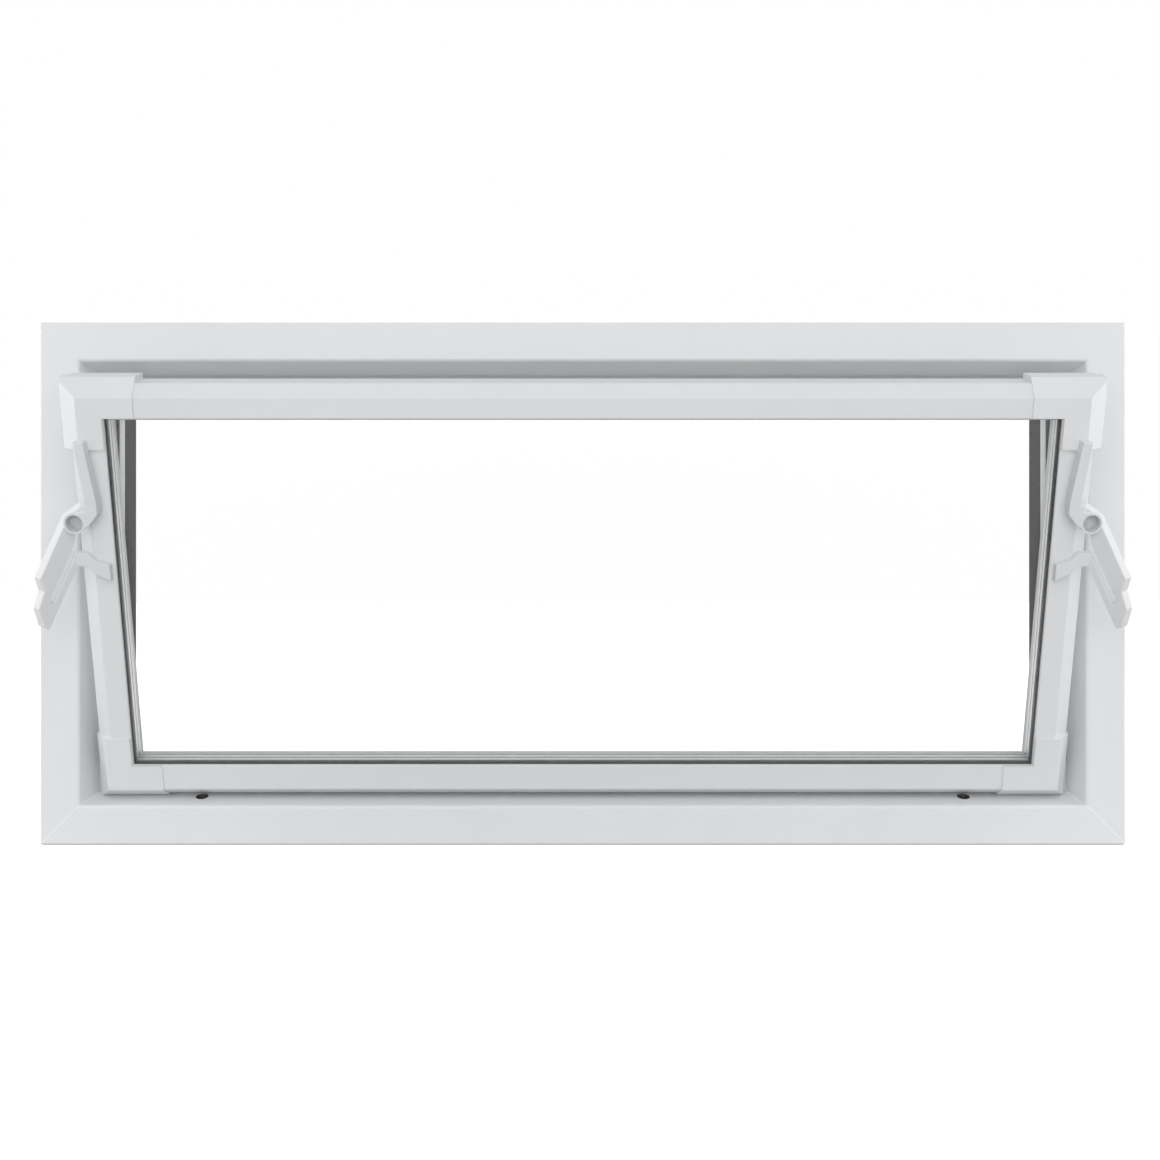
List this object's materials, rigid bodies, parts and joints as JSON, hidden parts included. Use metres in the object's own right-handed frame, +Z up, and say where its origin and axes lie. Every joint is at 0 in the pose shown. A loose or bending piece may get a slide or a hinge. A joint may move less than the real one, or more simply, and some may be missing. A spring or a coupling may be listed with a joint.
{
  "type": "hopper window",
  "caption": "White PVC hopper window: a mitred frame and a double-glazed sash that leans into the room, with moulded corners and slotted latch levers.",
  "frame": {"origin": "middle of the sill's underside, half way through the frame's depth", "axes": "+X along the window to the right as seen from the room, +Y from the room to the outside, +Z up"},
  "size_m": [0.79, 0.1469, 0.38],
  "materials": {
    "frame_pvc": "satin",
    "sash_pvc": "satin",
    "corner_plastic": "satin",
    "lever_plastic": "satin",
    "pivot_plastic": "satin",
    "clear_glass": "clear",
    "spacer_metal": "satin",
    "gasket_rubber": "matte",
    "seal_rubber": "matte"
  },
  "bodies": {
    "root": {"frame_head": "frame_pvc", "frame_sill": "frame_pvc", "frame_left_jamb": "frame_pvc", "frame_right_jamb": "frame_pvc", "sash_top_rail": "sash_pvc", "sash_bottom_rail": "sash_pvc", "sash_left_stile": "sash_pvc", "sash_right_stile": "sash_pvc", "sash_corner_bottom_left": "corner_plastic", "sash_corner_bottom_right": "corner_plastic", "sash_corner_top_left": "corner_plastic", "sash_corner_top_right": "corner_plastic", "latch_lever_left": "lever_plastic", "pivot_pin_left": "pivot_plastic", "pivot_shoe_left": "pivot_plastic", "latch_lever_right": "lever_plastic", "pivot_pin_right": "pivot_plastic", "pivot_shoe_right": "pivot_plastic", "inner_glass": "clear_glass", "outer_glass": "clear_glass", "frame_seal_bottom": "seal_rubber", "front_gasket_bottom": "gasket_rubber", "rear_gasket_bottom": "gasket_rubber", "spacer_bottom": "spacer_metal", "frame_seal_right": "seal_rubber", "front_gasket_right": "gasket_rubber", "rear_gasket_right": "gasket_rubber", "spacer_right": "spacer_metal", "frame_seal_top": "seal_rubber", "front_gasket_top": "gasket_rubber", "rear_gasket_top": "gasket_rubber", "spacer_top": "spacer_metal", "frame_seal_left": "seal_rubber", "front_gasket_left": "gasket_rubber", "rear_gasket_left": "gasket_rubber", "spacer_left": "spacer_metal"}
  },
  "joints": []
}
